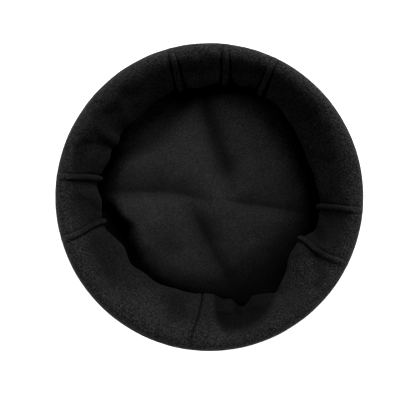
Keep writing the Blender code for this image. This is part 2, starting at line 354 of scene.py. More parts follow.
def band_columns():
    """Columns as arrays: angle, step sideways, distance to the own line, and line number.

    A line has columns at fixed steps to each side. From one line's last column to the next
    line's first, the angle and the step change evenly, and the distance is given as a whole
    metre, which is out of any line's reach.
    """
    steps = np.array(LINE_STEPS) / 1000
    own = np.concatenate([-steps[:0:-1], steps])
    blocks = []
    for number, (line, following) in enumerate(zip(LINES, LINES[1:] + LINES[:1])):
        here = np.ones(len(own))
        blocks.append(np.column_stack([here * line.angle, own, own, here * number]))
        span = (following.angle - line.angle) % 360
        fills = round((span - 2 * math.degrees(LINE_REACH / BRIM_RADIUS)) / FILL_SPACING)
        share = np.arange(1, fills) / fills
        angle = line.angle + span * share
        step = LINE_REACH * (1 - 2 * share)
        far = np.ones(len(share))
        blocks.append(np.column_stack([angle, step, far, far * number]))
    return np.vstack(blocks)


columns = band_columns()
print("columns round the band:", len(columns), "along", [line.name for line in LINES])

# %% [markdown]
# ## Slack and folds
#
# Worn cloth never stays even. The lip wanders in and out, the roll sags in places, small
# folds gather where the tube is turned outwards, and one stretch of the lip has fallen in.
# Moving single layers would push them through each other. So each change here moves all the
# space about the hat: what lies at one place moves together, and no layer can pass another.

# %% The lip and the slack
# The radius at which the lip's wandering has died out, and the lip as (angle, radius)
LIP_FADE_RADIUS = 0.128
LIP = [
    (6.5, 0.0998), (14.0, 0.0990), (21.5, 0.1008), (30.0, 0.1000), (45.5, 0.0968),
    (52.0, 0.0962), (57.5, 0.0985), (61.5, 0.0975), (64.5, 0.0952), (66.8, 0.0953),
    (69.2, 0.0980), (72.5, 0.0972), (76.5, 0.0962), (82.2, 0.0980), (88.0, 0.1005),
    (92.0, 0.1008), (98.5, 0.0966), (104.1, 0.0975), (109.5, 0.0980), (113.5, 0.0972),
    (118.5, 0.0922), (125.8, 0.0888), (136.0, 0.0916), (144.5, 0.0898), (160.1, 0.0890),
    (168.2, 0.0872), (182.5, 0.0872), (189.5, 0.0878), (194.5, 0.0925), (199.2, 0.0946),
    (201.5, 0.1012), (204.0, 0.1032), (206.4, 0.1014), (209.5, 0.0974), (212.5, 0.0982),
    (217.0, 0.1010), (221.5, 0.1045), (225.0, 0.1015), (230.5, 0.0972), (238.0, 0.0903),
    (246.0, 0.0888), (252.5, 0.0902), (258.8, 0.0988), (262.9, 0.0998), (267.7, 0.1000),
    (272.0, 0.0995), (280.3, 0.0978), (292.2, 0.0944), (302.3, 0.0948), (311.1, 0.0964),
    (320.1, 0.0988), (329.0, 0.1018), (340.0, 0.1045), (349.1, 0.1045), (358.6, 0.1040),
]

# A slack wave is the sum of a few plane waves. The length of each is the wave's own, times
# the shortest share plus a drawn part of the spread
SlackWave = namedtuple("SlackWave", "height length seed")
PLANE_WAVES = 6
SHORTEST_SHARE = 0.7
SHARE_SPREAD = 0.7

# The slack of the whole band, with heights in millimetres, and how the roll is pushed in and
# out, with its height in metres
BAND_SLACK = [SlackWave(0.8, 0.036, 11), SlackWave(0.35, 0.014, 12)]
ROLL_PUSH = SlackWave(0.0005, 0.030, 13)


def slack_wave(x, y, wave):
    """An aimless wave between about -height and height.

    It is height times the sum of n plane waves, sin(2π((x·cos d + y·sin d)/l + p)), divided
    by √n. The directions d, the lengths l and the starts p are drawn once by the seed.
    """
    dice = np.random.default_rng(wave.seed)
    total = 0
    for direction, stretch, start in dice.random((PLANE_WAVES, 3)):
        way = 2 * math.pi * direction
        ahead = x * math.cos(way) + y * math.sin(way)
        wavelength = wave.length * (SHORTEST_SHARE + SHARE_SPREAD * stretch)
        total = total + np.sin(2 * math.pi * (ahead / wavelength + start))
    return wave.height * (total / math.sqrt(PLANE_WAVES))


at_axis = [round(slack_wave(0, 0, wave), 3) for wave in BAND_SLACK]
print("rows of the lip:", len(LIP), "and the waves' heights at the axis:", at_axis)

# %% Sags, creases and a slump
# Soft hollows, and swells where the depth is below 0: the angle of the middle and the reach
# in degrees, then the distance from the axis, the width and the depth in millimetres
Sag = namedtuple("Sag", "angle reach radius width depth")
SAGS = [
    Sag(70.0, 5.0, 112, 7.0, 2.0),
    Sag(77.0, 4.5, 106, 5.0, -1.5),
    Sag(101.0, 7.0, 104, 6.0, 2.5),
    Sag(107.0, 5.0, 101, 7.0, 3.5),
    Sag(127.0, 10.0, 108, 6.0, 3.0),
    Sag(170.0, 5.0, 101, 10.0, 4.2),
    Sag(195.8, 3.0, 98, 4.0, -2.0),
    Sag(205.5, 7.5, 114, 3.5, -3.2),
    Sag(214.0, 3.5, 106, 4.0, -2.5),
    Sag(233.0, 6.0, 104, 7.0, 2.5),
    Sag(258.5, 5.5, 98, 9.0, 6.5),
    Sag(291.0, 9.0, 105, 6.0, 3.0),
    Sag(320.0, 12.0, 106, 6.0, 2.0),
]

# A crease is a sharp valley: places as (angle, millimetres from the axis), and in millimetres
# how deep it is, how blunt its bottom is, and how far it reaches on its left and on its right
Crease = namedtuple("Crease", "places depth blunt left right")
BAND_CREASES = [
    Crease([(21.0, 114), (16.0, 113), (10.3, 112), (6.0, 113), (1.0, 115)], 2.2, 0.8, 4.0, 2.5),
    Crease([(358.6, 115), (353.2, 115), (348.6, 116), (344.6, 118), (341.5, 120)], 2.2, 0.8, 4.0, 2.5),
    Crease([(60.0, 118), (55.0, 113), (50.0, 106)], 2.2, 0.8, 3.0, 5.0),
    Crease([(49.0, 119), (43.0, 113), (39.0, 105)], 1.8, 1.0, 4.0, 4.0),
    Crease(
        [(67.6, 90), (69, 99), (71, 108), (73, 117), (76.5, 121), (80.5, 118.5), (85, 115), (90, 114)],
        4.0, 0.5, 3.5, 3.2,
    ),
    Crease([(95.0, 120), (98.0, 110), (99.5, 104.5), (102.5, 101.5), (108, 105)], 3.6, 0.6, 3.0, 4.0),
    Crease([(115.0, 90), (122.0, 99), (127.0, 97), (131.5, 91)], 3.0, 0.5, 2.5, 3.5),
    Crease([(114.0, 107), (119.0, 107), (124.0, 106), (131.0, 107), (138.0, 112)], 3.4, 1.2, 4.5, 4.0),
    Crease([(167.5, 87), (169.8, 100), (172.4, 114)], 4.4, 2.2, 5.0, 5.0),
    Crease([(188.0, 101), (193.0, 105), (203.0, 108), (210.0, 109), (218.0, 109)], 4.2, 0.5, 2.0, 3.5),
    Crease([(204.6, 88), (203.6, 96), (202.8, 104)], 5.0, 1.2, 2.5, 2.5),
    Crease([(252.0, 101), (247.0, 108), (243.0, 114), (239.0, 119), (233.0, 123)], 3.2, 1.6, 4.0, 3.0),
    Crease([(262.5, 88), (261.5, 96), (257.5, 104), (254.0, 110)], 3.0, 0.8, 3.5, 4.0),
    Crease([(300.0, 93), (296.0, 104), (290.0, 112)], 1.3, 1.0, 5.0, 4.0),
    Crease([(322.0, 96), (318.0, 106), (311.0, 112)], 1.2, 1.0, 5.0, 4.0),
]

# A slump is a stretch that has fallen in: places round it as for a crease, and in millimetres
# how deep it lies and how wide the slope down to it is
Slump = namedtuple("Slump", "outline depth slope")
SLUMPS = [
    Slump(
        [
            (227, 102), (222.5, 108), (217.0, 113), (211.5, 118), (205.5, 121), (198.5, 122),
            (192.5, 119), (189.0, 110), (188.0, 94), (188.5, 78), (206.0, 76), (226.0, 80),
        ],
        14.0,
        5.0,
    ),
]
print("sags:", len(SAGS), "creases:", len(BAND_CREASES), "slumps:", len(SLUMPS))

# %% Work out where the slack takes each point
# The steps from place to place on a path, and the share of a crease in which it fades out
PATH_STEPS = 6
CREASE_END_SHARE = 0.25


def near_lip(radius):
    """1 at the neck and inside it, falling on the S-curve to 0 at LIP_FADE_RADIUS."""
    return smooth_step((LIP_FADE_RADIUS - radius) / (LIP_FADE_RADIUS - NECK_RADIUS))


def on_plan(places):
    """Places as (angle, millimetres from the axis) turned into x and y in metres."""
    places = np.array(places, float)
    return np.column_stack(plan(places[:, 0], places[:, 1] / 1000))


def near_path(x, y, path):
    """How each point lies to a path of straight pieces: distance and share of its length.

    The distance is below 0 on the path's right and above 0 on its left.
    """
    lengths = np.linalg.norm(np.diff(path, axis=0), axis=1)
    passed = np.concatenate([[0], np.cumsum(lengths)])
    best = np.full(x.shape, np.inf)
    signed = np.zeros(x.shape)
    share = np.zeros(x.shape)
    for start, end, length, before in zip(path, path[1:], lengths, passed):
        way = (end - start) / length
        ahead = (x - start[0]) * way[0] + (y - start[1]) * way[1]
        on_piece = np.clip(ahead, 0, length)
        gap_x = x - start[0] - on_piece * way[0]
        gap_y = y - start[1] - on_piece * way[1]
        distance = np.hypot(gap_x, gap_y)
        nearer = distance < best
        best = np.where(nearer, distance, best)
        side = np.sign(way[0] * gap_y - way[1] * gap_x)
        signed = np.where(nearer, side * distance, signed)
        share = np.where(nearer, (before + on_piece) / passed[-1], share)
    return signed, share


def crease_depth(x, y, crease):
    """A valley depth·exp(-(√(d² + b²) - b)/w) at distance d, w being the reach on that side.

    b is how blunt the bottom is. At each end the valley fades out on the S-curve, over
    CREASE_END_SHARE of its length.
    """
    distance, share = near_path(x, y, smooth_curve(on_plan(crease.places), PATH_STEPS))
    reach = np.where(distance > 0, crease.left, crease.right)
    away = (np.hypot(distance * 1000, crease.blunt) - crease.blunt) / reach
    ends = smooth_step(share / CREASE_END_SHARE) * smooth_step((1 - share) / CREASE_END_SHARE)
    return crease.depth * np.exp(-away) * ends


def slump_depth(x, y, slump):
    """depth·smooth_step(d / slope) at distance d inside the outline, and 0 outside it."""
    path = smooth_curve(on_plan(slump.outline + slump.outline[:1]), PATH_STEPS)
    distance = near_path(x, y, path)[0]
    return slump.depth * smooth_step(-distance * 1000 / slump.slope)


def settle(angle, radius, height):
    """Moves points of the even band to where the slack band has them.

    The lip moves a point out by (lip radius - neck radius)·near_lip(r), and ROLL_PUSH moves
    it in or out a little more. The depth at a place is the sum of its sags
    depth·hump(across)·hump(along), its creases and its slumps, less its waves. A point at
    height z sinks by depth·(z - foot) / (top - foot), so the sewn foot keeps its place.
    """
    moved = radius + (read_round(LIP, angle) - NECK_RADIUS) * near_lip(radius)
    x, y = plan(angle, moved)
    depth = 0
    for wave in BAND_SLACK:
        depth = depth - slack_wave(x, y, wave)
    for sag in SAGS:
        across = hump((moved * 1000 - sag.radius) / (2 * sag.width))
        along = hump(turn_between(sag.angle, angle) / (2 * sag.reach))
        depth = depth + sag.depth * across * along
    for crease in BAND_CREASES:
        depth = depth + crease_depth(x, y, crease)
    for slump in SLUMPS:
        depth = depth + slump_depth(x, y, slump)
    turn_length = np.radians(angle) * ROLL_MIDDLE_RADIUS
    pushed = slack_wave(turn_length, height, ROLL_PUSH)
    sunk = depth / 1000 * (height - BAND_FOOT) / (BRIM_TOP - BAND_FOOT)
    return moved + pushed * near_lip(radius), height - sunk


quarters = np.arange(0, 360, 90.0)
settled_r, settled_z = settle(quarters, np.full(4, NECK_RADIUS), np.full(4, BRIM_TOP))
print("the neck's radius at the front, right, back and left:", np.round(settled_r, 4))
print("and how high the top settles there:", np.round(settled_z, 4))

# %% [markdown]
# ## The band's mesh
#
# The grid has one row for each place on the cross-section and one column for each place
# round the hat. A tuck lifts the face by a rounded block: steep sides, a flat rounded top,
# and a sunk crease along each foot where the stitching pulls the cloth in. The seam is the
# opposite: a narrow groove between two soft shoulders.

# %% Ridges and grooves
TUCK_HEIGHT = 0.0030
TUCK_HALF_WIDTH = 0.0025
TUCK_SIDE_POWER = 3.5
TUCK_TOP_POWER = 0.55
TUCK_FOOT_DEPTH = 0.0007
TUCK_FOOT_PLACE = 0.0031
TUCK_FOOT_WIDTH = 0.0009
SEAM_DEPTH = 0.0016
SEAM_HALF_WIDTH = 0.0011
SEAM_SHOULDER = 0.0007
SEAM_SHOULDER_PLACE = 0.0034
SEAM_SHOULDER_WIDTH = 0.0030

# A line's lift is whole beside it and fades before its last columns
FADE_STRETCH = 0.9
FADE_STEEPNESS = 3


def tuck_foot(across):
    """The stitched foot on each side of a tuck: exp(-((|x| - p)/w)²), at p with width w."""
    return np.exp(-(((np.abs(across) - TUCK_FOOT_PLACE) / TUCK_FOOT_WIDTH) ** 2))


def tuck_lift(across):
    """Height over a tuck: a block (1 - |x/w|^a)^b, less the sunk foot on each side."""
    block = np.clip(1 - np.abs(across / TUCK_HALF_WIDTH) ** TUCK_SIDE_POWER, 0, 1)
    return TUCK_HEIGHT * block**TUCK_TOP_POWER - TUCK_FOOT_DEPTH * tuck_foot(across)


def seam_groove(across):
    """The groove of the seam: exp(-(x/w)²)."""
    return np.exp(-((across / SEAM_HALF_WIDTH) ** 2))


def seam_lift(across):
    """Height over the seam: shoulders exp(-((|x| - p)/s)²)·hump(x / reach), less the groove."""
    shoulder = np.exp(-(((np.abs(across) - SEAM_SHOULDER_PLACE) / SEAM_SHOULDER_WIDTH) ** 2))
    reach = hump(across / LINE_REACH)
    return SEAM_SHOULDER * shoulder * reach - SEAM_DEPTH * seam_groove(across)


print("a tuck stands", round(tuck_lift(0.0), 4), "high, and the seam", round(seam_lift(0.0), 4))

# %% Make the band
def band_points():
    """The band's grid of points, rows first.

    A point is a section's row plus its lift times the direction out of the face. It is
    turned by its line's drift·n, by its bow·4n(1 - n) and by its step sideways / radius,
    with n = near_lip(r), and then settled.
    """
    radius, height, out_r, out_z, share = [column[:, None] for column in section.T]
    angle, sideways, across, number = [column[None, :] for column in columns.T]
    tallness = np.array([line.height for line in LINES])[number.astype(int)]
    ridge = tallness * tuck_lift(across) + (tallness == 0) * seam_lift(across)
    own = (np.abs(across) <= LINE_REACH) * hump(across / LINE_REACH * FADE_STRETCH)
    lift = share * ridge * np.clip(own * FADE_STEEPNESS, 0, 1)
    drifts = [(line.angle, line.drift) for line in LINES]
    bows = [(line.angle, line.bow) for line in LINES]
    near = near_lip(radius)
    turned = angle + read_round(drifts, angle) * near
    turned = turned + read_round(bows, angle) * 4 * near * (1 - near)
    turned = turned + np.degrees(sideways / radius)
    settled_r, settled_z = settle(turned, radius + lift * out_r, height + lift * out_z)
    x, y = plan(turned, settled_r)
    return np.stack([x, y, settled_z], axis=-1)


def grid_faces(rows, columns, close_rows):
    """Quads that join each row to the next and each column to the next, round to the first."""
    index = np.arange(rows * columns).reshape(rows, columns)
    last = rows if close_rows else rows - 1
    near = index[:last]
    far = np.roll(index, -1, axis=0)[:last]
    quads = [near, np.roll(near, -1, axis=1), np.roll(far, -1, axis=1), far]
    return np.stack(quads, axis=-1).reshape(-1, 4)


def make_piece(name, points, faces):
    """A mesh object at the origin, shaded smooth, with its faces turned outwards.

    Six times the volume is the sum of a·(b × c) + a·(c × d) over the quads, as each splits
    into two triangles. Where it is below 0, the faces point inwards and are turned round.
    """
    quads = np.array([face for face in faces if len(face) == 4])
    a, b, c, d = [points[quads[:, i]] for i in range(4)]
    volumes = np.einsum("ij,ij->", a, np.cross(b, c)) + np.einsum("ij,ij->", a, np.cross(c, d))
    if volumes < 0:
        faces = [face[::-1] for face in faces]
    mesh = bpy.data.meshes.new(name)
    mesh.from_pydata(points, [], faces)
    mesh.shade_smooth()
    piece = bpy.data.objects.new(name, mesh)
    bpy.context.scene.collection.objects.link(piece)
    print(name, "has", len(faces) + len(quads), "triangles")
    return piece


grid = band_points()
band_faces = grid_faces(grid.shape[0], grid.shape[1], True).tolist()
band = make_piece("rolled_fleece_band", grid.reshape(-1, 3), band_faces)

# %% [markdown]
# ## The nap's tone and its painted shade
#
# The fleece's colour is darkened by painted shade in many places: on the roll's inner face,
# which is painted darker than its crest and outside, in the stitched feet of the tucks and in
# the seam, in the creases and the fallen-in stretch, and in patches by the lip. Each point of
# a mesh carries this as a number from 0, full painted shade, to 1, the nap's plain tone, and
# the material reads it.

# %% Give the band its nap and painted shade
# The share of the colour left on the roll's inner face, which is painted darker as shade, and the
# width of that painted shade's edge
SHADED_INNER_FACE = 0.50
INNER_SHADE_EDGE = 0.016

# The shares of the colour taken by painted shade in a tuck's foot, in the seam, in a crease
# and in a slump, and the millimetres from which on a crease takes its whole share
SHADE_AT_TUCK_FEET = 0.35
SHADE_IN_SEAM = 0.63
CREASE_SHADE = 0.42
SLUMP_SHADE = 0.68
FULL_CREASE = 2.0

# From where outwards the inner face's painted shade ends, as (angle, metres from the axis)
UNSHADED_FROM = [
    (16.5, 0.124), (36.5, 0.124), (56.5, 0.127), (76.5, 0.124), (96.5, 0.122), (116.5, 0.114),
    (136.5, 0.116), (156.5, 0.100), (176.5, 0.111), (189.0, 0.110), (194.0, 0.119), (204.0, 0.119),
    (212.0, 0.113), (221.0, 0.105), (228.0, 0.096), (240.0, 0.096), (256.5, 0.122), (276.5, 0.119),
    (296.5, 0.119), (316.5, 0.123), (336.5, 0.125), (356.5, 0.124),
]

# Patches of painted shade: the angle of the patch's middle, its distance from the axis and
# its reach in millimetres, and the share of the colour that the painted shade takes there
ShadePatch = namedtuple("ShadePatch", "angle millimetres reach share")
BAND_SHADE_PATCHES = [
    ShadePatch(76.0, 105, 14, 0.30),
    ShadePatch(76.0, 117, 9, 0.45),
    ShadePatch(97.0, 103, 14, 0.40),
    ShadePatch(107.0, 104, 12, 0.45),
    ShadePatch(117.0, 106, 12, 0.20),
    ShadePatch(137.0, 105, 15, 0.30),
    ShadePatch(167.0, 103, 13, 0.25),
    ShadePatch(226.0, 103, 11, 0.30),
    ShadePatch(257.0, 103, 14, 0.58),
    ShadePatch(275.0, 103, 13, 0.40),
]


def left_by_shade_patches(x, y, patches):
    """What the painted shade patches leave: the product of (1 - share·hump(distance / reach))."""
    left = np.ones(x.shape)
    for patch in patches:
        patch_x, patch_y = plan(patch.angle, patch.millimetres / 1000)
        away = np.hypot(x - patch_x, y - patch_y) * 1000 / patch.reach
        left = left * (1 - patch.share * hump(away))
    return left


def band_nap_and_shade(points):
    """The band's tone under painted shade, from the inner face's painted shade to 1 outside.

    It rises by step_across over the line where the inner face's painted shade ends. A tuck's
    foot, the seam, a crease, a slump and a shade patch each leave 1 - their share of painted
    shade.
    """
    x, y = np.moveaxis(points, -1, 0)[:2]
    unshaded_from = read_round(UNSHADED_FROM, np.degrees(np.arctan2(x, -y)))
    unshaded = step_across(np.hypot(x, y) - unshaded_from, INNER_SHADE_EDGE)
    across = columns[:, 2]
    number = columns[:, 3].astype(int)
    is_tuck = np.array([line.height > 0 for line in LINES])[number]
    # Painted shade in the tucks' stitched feet and in the seam's groove
    tuck_foot_shade = SHADE_AT_TUCK_FEET * tuck_foot(across)
    seam_and_foot_shade = np.where(is_tuck, tuck_foot_shade, SHADE_IN_SEAM * seam_groove(across))
    # Painted shade in the creases and in the fallen-in stretch
    crease_shade_depth = sum(crease_depth(x, y, crease) for crease in BAND_CREASES)
    slump_shade_mask = sum(slump_depth(x, y, slump) / slump.depth for slump in SLUMPS)
    left_by_crease_shade = 1 - CREASE_SHADE * np.clip(crease_shade_depth / FULL_CREASE, 0, 1)
    left_by_fold_shade = left_by_crease_shade * (1 - SLUMP_SHADE * slump_shade_mask)
    left = left_by_shade_patches(x, y, BAND_SHADE_PATCHES)
    return (SHADED_INNER_FACE + (1 - SHADED_INNER_FACE) * unshaded) * (1 - seam_and_foot_shade) * left_by_fold_shade * left


def set_nap_and_shade(piece, nap):
    """Stores one number for each point of a piece: the nap's tone, darkened by painted shade."""
    values = piece.data.attributes.new("nap", "FLOAT", "POINT")
    values.data.foreach_set("value", nap.ravel().astype(np.float32))


nap_and_shade_of_band = band_nap_and_shade(grid)
set_nap_and_shade(band, nap_and_shade_of_band)
print("nap from", round(float(nap_and_shade_of_band.min()), 2), "to", round(float(nap_and_shade_of_band.max()), 2))

# %% [markdown]
# ## The crown
#
# The crown is a round disc of the same cloth, puffed up into a low dome that slopes down to
# its rim, more steeply in some places than in others. The hat was kept folded in four, which
# left four fold marks that meet in a twisted cross. Two of them have a second, shorter crease
# at their inner end. The disc is a polar grid, and the marks are paths laid on it, because a
# simulation wouldn't put them where they are. The disc's edge turns up in a quarter circle to
# meet the band.

# %% Sizes and fold marks of the crown
CROWN_FLAT_RADIUS = CROWN_RADIUS - CROWN_EDGE_HEIGHT
CROWN_SPOKES = 400
CROWN_RING_STEP = 0.0016
CROWN_EDGE_STEPS = 8
PANEL_RISE = 0.0165
DOME_FALL = 0.006
DOME_RADIUS = 0.085
CROWN_SLACK = [SlackWave(0.0007, 0.045, 21), SlackWave(0.0003, 0.018, 22)]

# The slope down to the crown's rim: how far from the axis its middle is, half its width, and
# the share of the colour left at its foot under painted shade
PanelEdge = namedtuple("PanelEdge", "angle middle half_width foot_nap")
PANEL_EDGE = [
    PanelEdge(4.0, 0.091, 0.013, 0.0),
    PanelEdge(16.5, 0.087, 0.013, 0.0),
    PanelEdge(28.0, 0.077, 0.011, 0.6),
    PanelEdge(42.0, 0.068, 0.008, 0.8),
    PanelEdge(58.0, 0.070, 0.008, 0.7),
    PanelEdge(76.5, 0.090, 0.012, 0.0),
    PanelEdge(96.5, 0.091, 0.010, 0.0),
    PanelEdge(108.0, 0.085, 0.008, 0.0),
    PanelEdge(116.5, 0.077, 0.008, 0.0),
    PanelEdge(126.0, 0.080, 0.010, 0.0),
    PanelEdge(136.5, 0.083, 0.015, 0.0),
    PanelEdge(156.5, 0.083, 0.018, 0.0),
    PanelEdge(176.5, 0.081, 0.017, 0.0),
    PanelEdge(196.5, 0.080, 0.021, 0.0),
    PanelEdge(216.5, 0.078, 0.023, 0.0),
    PanelEdge(236.5, 0.077, 0.020, 0.0),
    PanelEdge(256.5, 0.082, 0.020, 0.0),
    PanelEdge(276.5, 0.087, 0.022, 0.0),
    PanelEdge(296.5, 0.087, 0.023, 0.0),
    PanelEdge(316.5, 0.091, 0.021, 0.0),
    PanelEdge(336.5, 0.096, 0.015, 0.0),
    PanelEdge(356.5, 0.093, 0.014, 0.0),
]

# The depth of a fold mark is the share of the rise that it takes away. The second and the
# fifth are the shorter creases, at the inner ends of the first and the fourth
CROWN_MARKS = [
    Crease(
        [(10, 140), (8, 91), (4, 65), (354, 43), (344, 34), (321, 24), (303, 22), (285, 26)],
        0.84, 3.0, 8.0, 7.0,
    ),
    Crease([(350, 38), (344, 34), (321, 24), (303, 22), (282, 27)], 0.26, 3.0, 8.0, 7.0),
    Crease([(96, 135), (93, 80), (92, 59), (90, 36), (98, 14), (240, 10)], 0.64, 2.2, 16.0, 4.0),
    Crease(
        [(208, 140), (201, 91), (197, 71), (193, 60), (187, 47), (176, 34), (150, 23), (92, 19)],
        0.62, 3.0, 9.0, 9.0,
    ),
    Crease([(187, 52), (179, 33), (156, 23), (123, 19), (96, 26)], 0.28, 3.0, 8.0, 8.0),
    Crease([(267, 135), (267, 91), (267, 71), (267, 51), (266, 32), (262, 4)], 0.50, 1.0, 4.5, 16.0),
]

# Patches of painted shade inside the crown: on two of the panels and beside two of the marks
CROWN_SHADE_PATCHES = [
    ShadePatch(144.0, 58.0, 30.0, 0.40),
    ShadePatch(322.0, 58.0, 32.0, 0.16),
    ShadePatch(258.0, 36.0, 28.0, 0.10),
    ShadePatch(77.0, 48.0, 25.0, 0.26),
    ShadePatch(96.0, 78.0, 20.0, 0.12),
]
print("creases on the crown:", len(CROWN_MARKS), "and worn patches:", len(CROWN_SHADE_PATCHES))

# %% Shape the crown
def crown_puff(x, y):
    """The share of the rise at a place on the crown: 1 inside the slope and 0 outside it.

    It is 1 - step_across(r - middle, 2·half width).
    """
    angle = np.degrees(np.arctan2(x, -y))
    middle = read_round([(row.angle, row.middle) for row in PANEL_EDGE], angle)
    half_width = read_round([(row.angle, row.half_width) for row in PANEL_EDGE], angle)
    return 1 - step_across(np.hypot(x, y) - middle, 2 * half_width)


def crown_height(x, y):
    """How high the crown's underside stands.

    The rise, less DOME_FALL·(r / DOME_RADIUS)², plus the slack waves, times (1 - valley) for
    each fold mark, and times its share towards the rim.
    """
    height = PANEL_RISE - DOME_FALL * ((x**2 + y**2) / DOME_RADIUS**2)
    for wave in CROWN_SLACK:
        height = height + slack_wave(x, y, wave)
    for mark in CROWN_MARKS:
        height = height * (1 - crease_depth(x, y, mark))
    return np.maximum(height * crown_puff(x, y), 0.0)


def crown_points():
    """The crown's rings, out along the underside and back along the inside.

    On the flat part a point is (r, h) and (r, h + cloth). At the edge both faces follow
    quarter circles about the same middle.
    """
    angle = np.arange(CROWN_SPOKES)[None, :] * 360 / CROWN_SPOKES
    flat = np.linspace(0, CROWN_FLAT_RADIUS, round(CROWN_FLAT_RADIUS / CROWN_RING_STEP))[1:]
    x, y = plan(angle, flat[:, None])
    under = crown_height(x, y)
    bend = np.radians(90 * np.arange(1, CROWN_EDGE_STEPS + 1) / CROWN_EDGE_STEPS)[:, None]
    faces = []
    for thick, arc in ((0.0, CROWN_EDGE_HEIGHT), (CLOTH, CROWN_EDGE_HEIGHT - CLOTH)):
        rim_x, rim_y = plan(angle, CROWN_FLAT_RADIUS + arc * np.sin(bend))
        rim_z = np.broadcast_to(CROWN_EDGE_HEIGHT - arc * np.cos(bend), rim_x.shape)
        top = np.stack([x, y, under + thick], axis=-1)
        faces.append(np.vstack([top, np.stack([rim_x, rim_y, rim_z], axis=-1)]))
    return np.vstack([faces[0], faces[1][::-1]])


crown_grid = crown_points()
rings = len(crown_grid)
middle_height = float(crown_height(np.zeros(1), np.zeros(1))[0])
poles = [(0.0, 0.0, middle_height), (0.0, 0.0, middle_height + CLOTH)]
crown_vertices = np.vstack([crown_grid.reshape(-1, 3), poles])
crown_faces = grid_faces(rings, CROWN_SPOKES, False).tolist()

# A fan of triangles closes each middle: the underside's runs the other way round
for pole, ring, order in ((0, 0, -1), (1, rings - 1, 1)):
    tip = np.full(CROWN_SPOKES, rings * CROWN_SPOKES + pole)
    here = ring * CROWN_SPOKES + np.arange(CROWN_SPOKES)
    following = np.roll(here, -1)
    crown_faces += np.column_stack([tip, *[here, following][::order]]).tolist()
crown = make_piece("creased_fleece_crown", crown_vertices, crown_faces)

# %% Give the crown its nap and painted shade
# The crown's plain tone, and the share of the colour taken by painted shade in the fold marks
CROWN_NAP = 0.86
FOLD_SHADE = 0.75

# Painted shade across the crown: it is lighter by so much for each metre towards one angle
SHADE_SLOPE = 3.2
LIGHTER_TOWARDS = 38.0


def crown_nap_and_shade(vertices):
    """The tone and painted shade inside the crown.

    It is CROWN_NAP plus a painted shade that rises by so much for each metre towards one angle,
    times what the painted shade patches leave, times what the painted shade on the rim's slope
    leaves, times 1 - share·valley for the painted shade in the fold marks.
    """
    x, y = vertices.T[:2]
    fold_shade_depth = sum(crease_depth(x, y, mark) for mark in CROWN_MARKS)
    angle = np.degrees(np.arctan2(x, -y))
    foot_nap = read_round([(row.angle, row.foot_nap) for row in PANEL_EDGE], angle)
    unshaded = foot_nap + (1 - foot_nap) * crown_puff(x, y)
    way_x, way_y = plan(LIGHTER_TOWARDS, 1.0)
    nap = np.clip(CROWN_NAP + SHADE_SLOPE * (x * way_x + y * way_y), 0, 1)
    nap = nap * left_by_shade_patches(x, y, CROWN_SHADE_PATCHES) * unshaded
    return np.clip(nap * (1 - FOLD_SHADE * fold_shade_depth), 0, 1)


# The first half of the rings and the first pole are the crown's outside, which keeps its plain
# tone without painted shade
is_outside = np.arange(len(crown_vertices)) < rings * CROWN_SPOKES // 2
is_outside[-2] = True
nap_and_shade_of_crown = np.where(is_outside, CROWN_NAP, crown_nap_and_shade(crown_vertices))
set_nap_and_shade(crown, nap_and_shade_of_crown)
print("nap from", round(float(nap_and_shade_of_crown.min()), 2), "to", round(float(nap_and_shade_of_crown.max()), 2))

# %% [markdown]
# ## The fleece
# The specks are painted highlights: their brightness is put into the colour.
#
# Black fleece is a nap of tiny curls. Up close it is a field of dark hollows and grey curl
# tops between one and two millimetres across, with finer fibres on them and a few bright
# specks where a fibre catches the light. The curls are a noise pattern on the object's own
# coordinates, so they stay on the cloth from every side. The same pattern shades the colour
# and lifts the surface, and a sheen brightens the nap where the cloth turns away.
#
# The two pieces get a fleece each. The band's is brushed, with all its curls. The crown's is
# felted by wear: its colour goes part of the way to one even grey, and its curls are lower.

# %% A small class for shader maths
class Tone:
    """One socket of a node tree, on which + - and * add Math nodes."""

    def __init__(self, tree, socket):
        self.tree = tree
        self.socket = socket

    def join(self, operation, first, second):
        return self.tree.node("ShaderNodeMath", {"operation": operation}, {0: first, 1: second})

    def __add__(self, other):
        return self.join("ADD", self, other)

    def __radd__(self, other):
        return self.join("ADD", other, self)

    def __sub__(self, other):
        return self.join("SUBTRACT", self, other)

    def __rsub__(self, other):
        return self.join("SUBTRACT", other, self)

    def __mul__(self, other):
        return self.join("MULTIPLY", self, other)

    def __rmul__(self, other):
        return self.join("MULTIPLY", other, self)


class NodeTree:
    """A node tree whose nodes are added one by one by a single method."""

    def __init__(self, tree):
        self.tree = tree

    def node(self, kind, settings, inputs, output=0):
        """Adds a node, sets its settings, then its inputs by values or by links."""
        made = self.tree.nodes.new(kind)
        for name, value in settings.items():
            setattr(made, name, value)
        self.feed(made, inputs)
        return Tone(self, made.outputs[output])

    def feed(self, node, inputs):
        """Gives inputs of a node their values or their links."""
        for place, value in inputs.items():
            if isinstance(value, Tone):
                self.tree.links.new(value.socket, node.inputs[place])
            else:
                node.inputs[place].default_value = value


